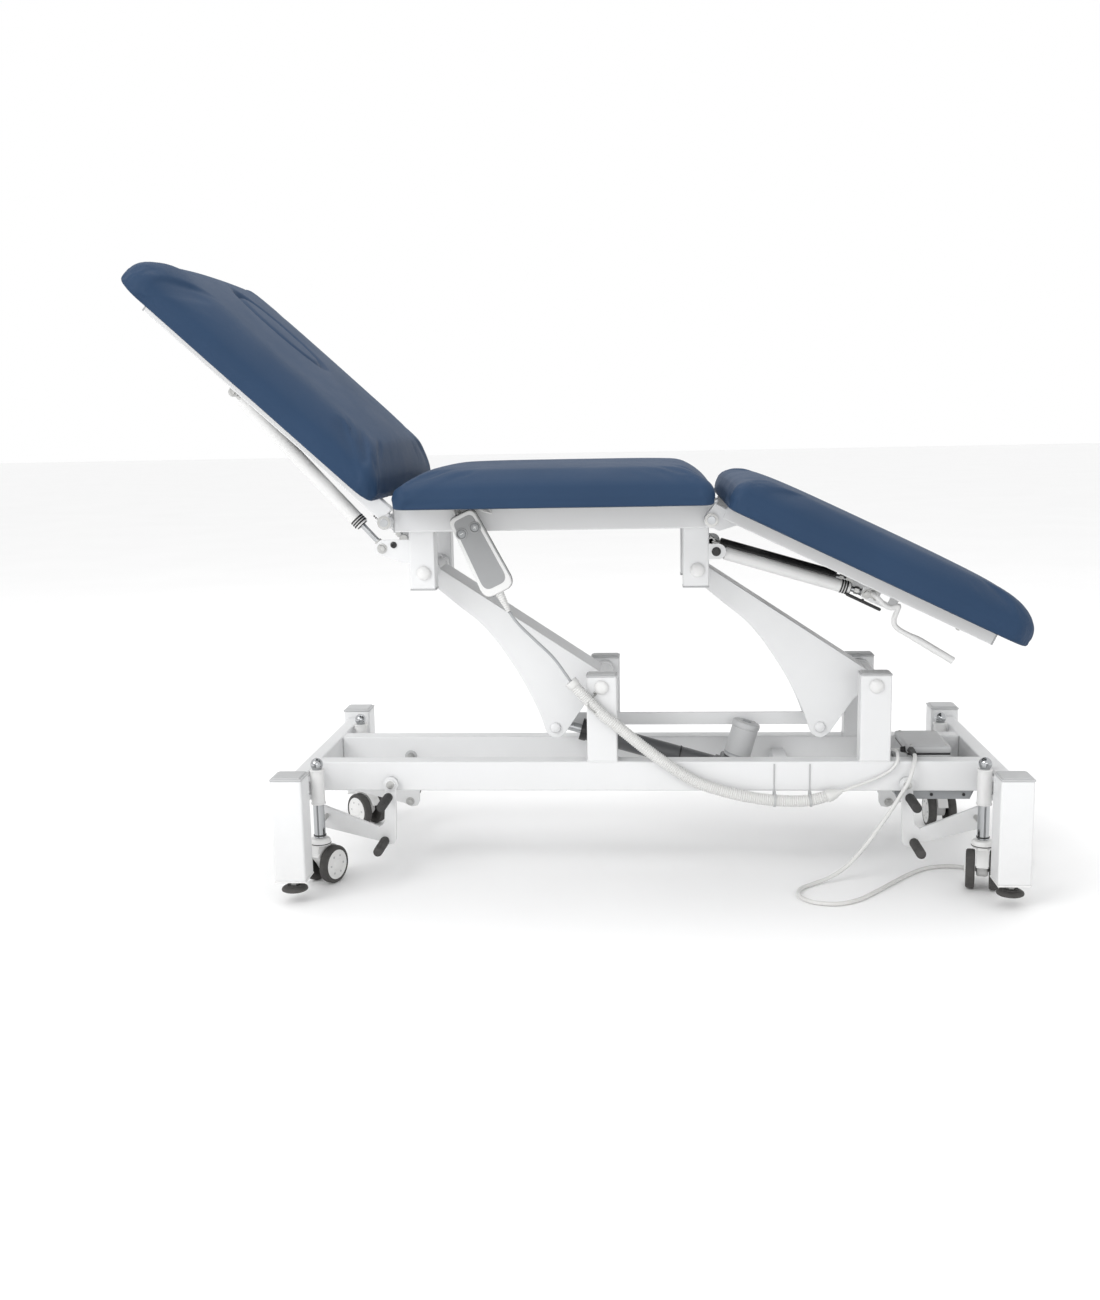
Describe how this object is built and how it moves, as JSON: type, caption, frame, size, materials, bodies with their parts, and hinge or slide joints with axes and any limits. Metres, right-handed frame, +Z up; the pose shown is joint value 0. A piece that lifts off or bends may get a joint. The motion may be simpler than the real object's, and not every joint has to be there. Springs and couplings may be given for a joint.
{
  "type": "medical exam table",
  "caption": "Three-section electric exam table: parallelogram lift on a castor base, hinged backrest with a face hole, hinged leg rest and a corded hand control.",
  "frame": {"origin": "centre of the table's footprint on the floor, without its mains cord", "axes": "+X from the head end to the foot end, +Y away from the side with the hand control, +Z up"},
  "size_m": [1.7337, 0.68, 1.2072],
  "materials": {
    "white_frame": "white powder coat, fine texture, semi-matt",
    "white_plastic": "moulded white plastic, semi-matt",
    "grey_plastic": "moulded mid-grey plastic",
    "dark_metal": "dark grey painted steel tube",
    "black_plastic": "moulded black plastic",
    "rubber": "moulded black rubber, matt",
    "chrome": "bright chrome plate",
    "steel": "ground steel rod",
    "upholstery": "slate-blue leatherette with a fine grain",
    "wheel_black": "black tread and white disc, moulded",
    "cable": "white flexible PVC sheath",
    "cable_grey": "light grey flexible PVC sheath"
  },
  "bodies": {
    "base": {"near_side_rail": "white_frame", "far_side_rail": "white_frame", "head_end_beam": "white_frame", "foot_end_beam": "white_frame", "actuator_cross_tube": "white_frame", "control_box": "grey_plastic", "head_arm_lower_axle": "white_plastic", "foot_arm_lower_axle": "white_plastic", "conduit": "cable", "power_cord": "cable", "cord_hank": "cable", "power_plug": "cable"},
    "head_arm": {"head_lift_arm": "white_frame"},
    "foot_arm": {"foot_lift_arm": "white_frame"},
    "upper_frame": {"seat_frame": "white_frame", "seat_pad": "upholstery", "head_arm_upper_axle": "white_plastic", "foot_arm_upper_axle": "white_plastic", "back_hinge_rod": "steel", "leg_hinge_rod": "steel", "handset_shell": "white_plastic", "handset_cable": "cable_grey"},
    "tie_bar": {"tie_bar": "white_frame"},
    "actuator_body": {"actuator_housing": "dark_metal", "actuator_motor": "grey_plastic"},
    "actuator_rod": {"actuator_rod": "steel"},
    "back_section": {"back_frame": "white_frame", "back_pad": "upholstery"},
    "face_hole_plug": {"face_hole_plug": "upholstery"},
    "leg_section": {"leg_frame": "white_frame", "leg_pad": "upholstery"},
    "release_handle": {"release_handle": "white_plastic"},
    "up_button": {"up_button": "grey_plastic"},
    "down_button": {"down_button": "grey_plastic"},
    "head_pedal": {"head_castor_pedal": "white_frame"},
    "foot_pedal": {"foot_castor_pedal": "white_frame"},
    "back_strut_near_cylinder": {"back_strut_near_cylinder": "white_plastic"},
    "back_strut_near_rod": {"back_strut_near_rod": "steel"},
    "back_strut_far_cylinder": {"back_strut_far_cylinder": "white_plastic"},
    "back_strut_far_rod": {"back_strut_far_rod": "steel"},
    "leg_strut_near_cylinder": {"leg_strut_near_cylinder": "white_plastic"},
    "leg_strut_near_rod": {"leg_strut_near_rod": "steel"},
    "leg_strut_far_cylinder": {"leg_strut_far_cylinder": "black_plastic"},
    "leg_strut_far_rod": {"leg_strut_far_rod": "steel"},
    "leveling_foot_head_near": {"leveling_foot_head_near": "rubber"},
    "castor_stem_head_near": {"castor_stem_head_near": "chrome"},
    "castor_fork_head_near": {"castor_fork_head_near": "white_plastic"},
    "castor_wheels_head_near": {"castor_wheels_head_near": "wheel_black"},
    "leveling_foot_head_far": {"leveling_foot_head_far": "rubber"},
    "castor_stem_head_far": {"castor_stem_head_far": "chrome"},
    "castor_fork_head_far": {"castor_fork_head_far": "white_plastic"},
    "castor_wheels_head_far": {"castor_wheels_head_far": "wheel_black"},
    "leveling_foot_foot_near": {"leveling_foot_foot_near": "rubber"},
    "castor_stem_foot_near": {"castor_stem_foot_near": "chrome"},
    "castor_fork_foot_near": {"castor_fork_foot_near": "white_plastic"},
    "castor_wheels_foot_near": {"castor_wheels_foot_near": "wheel_black"},
    "leveling_foot_foot_far": {"leveling_foot_foot_far": "rubber"},
    "castor_stem_foot_far": {"castor_stem_foot_far": "chrome"},
    "castor_fork_foot_far": {"castor_fork_foot_far": "white_plastic"},
    "castor_wheels_foot_far": {"castor_wheels_foot_far": "wheel_black"}
  },
  "joints": [
    {"name": "lift", "type": "hinge", "parent": "base", "child": "head_arm", "pos_m": [0.02984, 0, 0.3766], "axis": [0, 1, 0], "range_deg": [-15, 26], "deforming": ["handset_cable"]},
    {"name": "lift_foot_arm", "type": "hinge", "parent": "base", "child": "foot_arm", "pos_m": [0.56184, 0, 0.3766], "axis": [0, 1, 0], "range_deg": [-15, 26]},
    {"name": "lift_upper_frame", "type": "hinge", "parent": "head_arm", "child": "upper_frame", "pos_m": [-0.31417, 0, 0.60603], "axis": [0, 1, 0], "range_deg": [-26, 15]},
    {"name": "lift_tie_bar", "type": "hinge", "parent": "head_arm", "child": "tie_bar", "pos_m": [-0.06819, 0, 0.27863], "axis": [0, 1, 0], "range_deg": [-26, 15]},
    {"name": "actuator_swing", "type": "hinge", "parent": "base", "child": "actuator_body", "pos_m": [0.35384, 0, 0.158], "axis": [0, 1, 0], "range_deg": [-3, 5]},
    {"name": "actuator_stroke", "type": "slide", "parent": "actuator_body", "child": "actuator_rod", "axis": [-0.9615, 0, 0.2748], "range_m": [-0.031, 0.053]},
    {"name": "backrest", "type": "hinge", "parent": "upper_frame", "child": "back_section", "pos_m": [-0.37616, 0, 0.71], "axis": [0, 1, 0], "range_deg": [-42.6, 20]},
    {"name": "back_strut_near_pivot", "type": "hinge", "parent": "back_section", "child": "back_strut_near_cylinder", "pos_m": [-0.67618, -0.108, 0.962], "axis": [0, 1, 0], "range_deg": [-2, 3]},
    {"name": "back_strut_near_stroke", "type": "slide", "parent": "back_strut_near_cylinder", "child": "back_strut_near_rod", "axis": [0.6752, 0, -0.7376], "range_m": [-0.042, 0.02]},
    {"name": "back_strut_far_pivot", "type": "hinge", "parent": "back_section", "child": "back_strut_far_cylinder", "pos_m": [-0.67618, 0.108, 0.962], "axis": [0, 1, 0], "range_deg": [-2, 3]},
    {"name": "back_strut_far_stroke", "type": "slide", "parent": "back_strut_far_cylinder", "child": "back_strut_far_rod", "axis": [0.6752, 0, -0.7376], "range_m": [-0.042, 0.02]},
    {"name": "face_hole_plug_lift", "type": "slide", "parent": "back_section", "child": "face_hole_plug", "axis": [0.6769, 0, 0.7361], "range_m": [0, 0.09]},
    {"name": "leg_rest", "type": "hinge", "parent": "upper_frame", "child": "leg_section", "pos_m": [0.24184, 0, 0.706], "axis": [0, -1, 0], "range_deg": [0, 25.9]},
    {"name": "leg_strut_near_pivot", "type": "hinge", "parent": "upper_frame", "child": "leg_strut_near_cylinder", "pos_m": [0.25384, -0.108, 0.641], "axis": [0, -1, 0], "range_deg": [0, 28]},
    {"name": "leg_strut_near_stroke", "type": "slide", "parent": "leg_strut_near_cylinder", "child": "leg_strut_near_rod", "axis": [0.9586, 0, -0.2849], "range_m": [0, 0.032]},
    {"name": "leg_strut_far_pivot", "type": "hinge", "parent": "upper_frame", "child": "leg_strut_far_cylinder", "pos_m": [0.25384, 0.108, 0.641], "axis": [0, -1, 0], "range_deg": [0, 28]},
    {"name": "leg_strut_far_stroke", "type": "slide", "parent": "leg_strut_far_cylinder", "child": "leg_strut_far_rod", "axis": [0.9586, 0, -0.2849], "range_m": [0, 0.032]},
    {"name": "release_handle_turn", "type": "hinge", "parent": "leg_section", "child": "release_handle", "pos_m": [0.55149, -0.134, 0.55703], "axis": [0, -1, 0], "range_deg": [0, 10], "stiffness_Nm_per_rad": 1, "springref_deg": -1.15},
    {"name": "up_button_press", "type": "slide", "parent": "upper_frame", "child": "up_button", "axis": [0, 1, 0], "range_m": [0, 0.0015], "stiffness_N_per_m": 700, "springref_m": -0.0003},
    {"name": "down_button_press", "type": "slide", "parent": "upper_frame", "child": "down_button", "axis": [0, 1, 0], "range_m": [0, 0.0015], "stiffness_N_per_m": 700, "springref_m": -0.0003},
    {"name": "leveling_foot_head_near_screw", "type": "slide", "parent": "base", "child": "leveling_foot_head_near", "axis": [0, 0, 1], "range_m": [-0.02, 0.01]},
    {"name": "leveling_foot_head_far_screw", "type": "slide", "parent": "base", "child": "leveling_foot_head_far", "axis": [0, 0, 1], "range_m": [-0.02, 0.01]},
    {"name": "leveling_foot_foot_near_screw", "type": "slide", "parent": "base", "child": "leveling_foot_foot_near", "axis": [0, 0, 1], "range_m": [-0.02, 0.01]},
    {"name": "leveling_foot_foot_far_screw", "type": "slide", "parent": "base", "child": "leveling_foot_foot_far", "axis": [0, 0, 1], "range_m": [-0.02, 0.01]},
    {"name": "head_pedal_tilt", "type": "hinge", "parent": "base", "child": "head_pedal", "pos_m": [-0.39416, 0, 0.184], "axis": [0, 1, 0], "range_deg": [0, 14.6]},
    {"name": "foot_pedal_tilt", "type": "hinge", "parent": "base", "child": "foot_pedal", "pos_m": [0.62184, 0, 0.184], "axis": [0, -1, 0], "range_deg": [0, 14.6]},
    {"name": "castor_head_near_lift", "type": "slide", "parent": "base", "child": "castor_stem_head_near", "axis": [0, 0, 1], "range_m": [0, 0.035]},
    {"name": "castor_head_near_swivel", "type": "hinge", "parent": "castor_stem_head_near", "child": "castor_fork_head_near", "pos_m": [-0.52716, -0.203, 0.06], "axis": [0, 0, 1], "continuous": true},
    {"name": "castor_head_near_roll", "type": "hinge", "parent": "castor_fork_head_near", "child": "castor_wheels_head_near", "pos_m": [-0.52209, -0.19212, 0.0375], "axis": [-0.9063, 0.4226, 0], "continuous": true},
    {"name": "castor_head_far_lift", "type": "slide", "parent": "base", "child": "castor_stem_head_far", "axis": [0, 0, 1], "range_m": [0, 0.035]},
    {"name": "castor_head_far_swivel", "type": "hinge", "parent": "castor_stem_head_far", "child": "castor_fork_head_far", "pos_m": [-0.52716, 0.203, 0.06], "axis": [0, 0, 1], "continuous": true},
    {"name": "castor_head_far_roll", "type": "hinge", "parent": "castor_fork_head_far", "child": "castor_wheels_head_far", "pos_m": [-0.51824, 0.19497, 0.0375], "axis": [0.6691, 0.7431, 0], "continuous": true},
    {"name": "castor_foot_near_lift", "type": "slide", "parent": "base", "child": "castor_stem_foot_near", "axis": [0, 0, 1], "range_m": [0, 0.035]},
    {"name": "castor_foot_near_swivel", "type": "hinge", "parent": "castor_stem_foot_near", "child": "castor_fork_foot_near", "pos_m": [0.75484, -0.203, 0.06], "axis": [0, 0, 1], "continuous": true},
    {"name": "castor_foot_near_roll", "type": "hinge", "parent": "castor_fork_foot_near", "child": "castor_wheels_foot_near", "pos_m": [0.75214, -0.21469, 0.0375], "axis": [0.9744, -0.225, 0], "continuous": true},
    {"name": "castor_foot_far_lift", "type": "slide", "parent": "base", "child": "castor_stem_foot_far", "axis": [0, 0, 1], "range_m": [0, 0.035]},
    {"name": "castor_foot_far_swivel", "type": "hinge", "parent": "castor_stem_foot_far", "child": "castor_fork_foot_far", "pos_m": [0.75484, 0.203, 0.06], "axis": [0, 0, 1], "continuous": true},
    {"name": "castor_foot_far_roll", "type": "hinge", "parent": "castor_fork_foot_far", "child": "castor_wheels_foot_far", "pos_m": [0.75526, 0.19101, 0.0375], "axis": [0.9994, 0.0349, 0], "continuous": true}
  ],
  "couplings": [
    {"joint": "lift_foot_arm", "follows": "lift", "ratio": 1},
    {"joint": "lift_upper_frame", "follows": "lift", "ratio": -1},
    {"joint": "lift_tie_bar", "follows": "lift", "ratio": -1},
    {"joint": "actuator_swing", "follows": "lift", "ratio": 0.1695},
    {"joint": "actuator_stroke", "follows": "lift", "m_per_rad": 0.1145},
    {"joint": "back_strut_near_pivot", "follows": "backrest", "ratio": -0.0419},
    {"joint": "back_strut_near_stroke", "follows": "backrest", "m_per_rad": 0.0533},
    {"joint": "back_strut_far_pivot", "follows": "backrest", "ratio": -0.0419},
    {"joint": "back_strut_far_stroke", "follows": "backrest", "m_per_rad": 0.0533},
    {"joint": "leg_strut_near_pivot", "follows": "leg_rest", "ratio": 1.057},
    {"joint": "leg_strut_near_stroke", "follows": "leg_rest", "m_per_rad": 0.06305},
    {"joint": "leg_strut_far_pivot", "follows": "leg_rest", "ratio": 1.057},
    {"joint": "leg_strut_far_stroke", "follows": "leg_rest", "m_per_rad": 0.06305},
    {"joint": "castor_head_near_lift", "follows": "head_pedal_tilt", "m_per_rad": 0.137},
    {"joint": "castor_head_far_lift", "follows": "head_pedal_tilt", "m_per_rad": 0.137},
    {"joint": "castor_foot_near_lift", "follows": "foot_pedal_tilt", "m_per_rad": 0.137},
    {"joint": "castor_foot_far_lift", "follows": "foot_pedal_tilt", "m_per_rad": 0.137}
  ]
}
